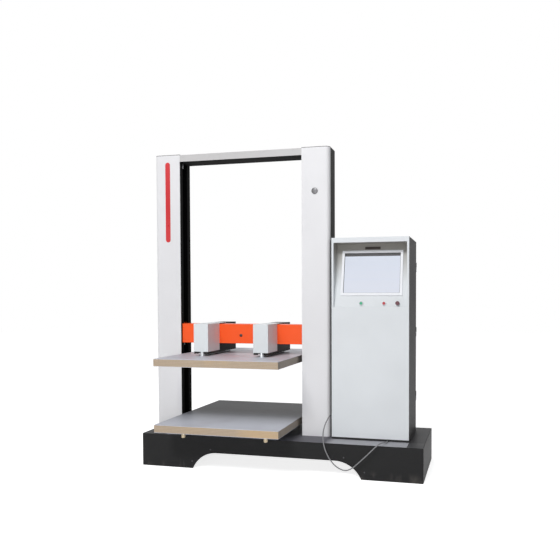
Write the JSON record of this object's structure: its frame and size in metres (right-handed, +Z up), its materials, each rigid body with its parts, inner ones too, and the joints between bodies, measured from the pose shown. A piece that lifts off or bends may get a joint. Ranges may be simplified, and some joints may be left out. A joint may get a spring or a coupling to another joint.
{
  "type": "carton compression tester",
  "caption": "Floor-standing two-column compression tester: an orange crosshead drives a square platen onto a lower one beside an instrument console, all on one arched base.",
  "frame": {"origin": "on the floor, under the middle of the base's length and of the platens' depth", "axes": "+X to the console's side, to the user's right; +Y to the back; +Z up"},
  "size_m": [1.83, 0.8, 2.034],
  "materials": {
    "light_paint": "satin",
    "panel_paint": "matte",
    "dark_paint": "satin",
    "black_paint": "satin",
    "base_paint": "satin",
    "deck_paint": "satin",
    "orange_paint": "gloss",
    "bare_steel": "machined",
    "bush_bronze": "machined",
    "platen_sheet": "brushed",
    "platen_wood": "matte",
    "yellow_zinc": "satin",
    "motor_paint": "satin",
    "belt_rubber": "matte",
    "white_plastic": "satin",
    "black_plastic": "matte",
    "button_black": "gloss",
    "button_green": "gloss",
    "button_red": "gloss",
    "screen_glass": "satin",
    "red_plastic": "gloss",
    "badge_metal": "polished",
    "case_metal": "matte",
    "relief_rubber": "matte",
    "cord_plastic": "matte"
  },
  "bodies": {
    "frame": {"base_rails": "bare_steel", "base_shell": "base_paint", "blank_plate": "black_plastic", "button_rings": "black_plastic", "cable_outlet": "dark_paint", "cable_reliefs": "relief_rubber", "column_badge": "badge_metal", "column_caps": "dark_paint", "column_front_left": "light_paint", "column_front_right": "light_paint", "column_post_left": "black_paint", "column_post_right": "black_paint", "column_rear_left": "dark_paint", "column_rear_right": "dark_paint", "computer": "case_metal", "console_front": "light_paint", "console_shell": "dark_paint", "deck_plate": "deck_paint", "door_hinges": "bare_steel", "drive_belts": "belt_rubber", "gear_reducer": "motor_paint", "guide_rods": "bare_steel", "instrument_panel": "panel_paint", "lower_platen_core": "platen_wood", "lower_platen_sheets": "platen_sheet", "lower_platen_studs": "yellow_zinc", "mains_inlet": "black_plastic", "monitor": "black_plastic", "platen_risers": "bare_steel", "red_strip": "red_plastic", "screen": "screen_glass", "screen_bezel": "white_plastic", "screw_bearings": "bare_steel", "servo_drive": "case_metal", "servo_motor": "motor_paint", "signal_cord": "cord_plastic", "slot_strips": "black_paint", "top_beam": "black_paint", "top_beam_cover": "light_paint", "underside_cover": "base_paint"},
    "crosshead": {"crosshead_beam": "orange_paint", "carriages": "orange_paint", "ball_nuts": "bare_steel", "guide_bushes": "bush_bronze", "carrier_frames": "black_paint", "carrier_cover_left": "light_paint", "carrier_cover_right": "light_paint", "load_cells": "bare_steel", "upper_platen_core": "platen_wood", "upper_platen_sheets": "platen_sheet"},
    "screw_left": {"ball_screw_left": "bare_steel", "screw_pulley_left": "bare_steel"},
    "screw_right": {"ball_screw_right": "bare_steel", "screw_pulley_right": "bare_steel"},
    "drive_shaft": {"drive_pulley": "bare_steel"},
    "green_push": {"green_button": "button_green"},
    "red_push": {"red_button": "button_red"},
    "black_push": {"black_button": "button_black"},
    "rear_door": {"console_door": "dark_paint"},
    "latch": {"door_latch": "badge_metal"}
  },
  "joints": [
    {"name": "crosshead_lift", "type": "slide", "parent": "frame", "child": "crosshead", "axis": [0, 0, 1], "range_m": [-0.35, 1]},
    {"name": "screw_left_turn", "type": "hinge", "parent": "frame", "child": "screw_left", "pos_m": [-0.78, 0, 0.2], "axis": [0, 0, 1], "continuous": true},
    {"name": "screw_right_turn", "type": "hinge", "parent": "frame", "child": "screw_right", "pos_m": [0.176, 0, 0.2], "axis": [0, 0, 1], "continuous": true},
    {"name": "drive_turn", "type": "hinge", "parent": "frame", "child": "drive_shaft", "pos_m": [0.47, 0, 0.2], "axis": [0, 0, 1], "continuous": true},
    {"name": "green_press", "type": "slide", "parent": "frame", "child": "green_push", "axis": [0, 0.9824, -0.1866], "range_m": [0, 0.003], "stiffness_N_per_m": 500},
    {"name": "red_press", "type": "slide", "parent": "frame", "child": "red_push", "axis": [0, 0.9824, -0.1866], "range_m": [0, 0.003], "stiffness_N_per_m": 500},
    {"name": "black_press", "type": "slide", "parent": "frame", "child": "black_push", "axis": [0, 0.9824, -0.1866], "range_m": [0, 0.003], "stiffness_N_per_m": 500},
    {"name": "door_swing", "type": "hinge", "parent": "frame", "child": "rear_door", "pos_m": [0.811, 0.245, 0.85], "axis": [0, 0, -1], "range_deg": [0, 110]},
    {"name": "latch_turn", "type": "hinge", "parent": "rear_door", "child": "latch", "pos_m": [0.371, 0.235, 0.86], "axis": [0, 1, 0], "range_deg": [0, 90]}
  ],
  "couplings": [
    {"joint": "screw_left_turn", "follows": "crosshead_lift", "rad_per_m": 628.32},
    {"joint": "screw_right_turn", "follows": "crosshead_lift", "rad_per_m": 628.32},
    {"joint": "drive_turn", "follows": "crosshead_lift", "rad_per_m": 628.32}
  ]
}
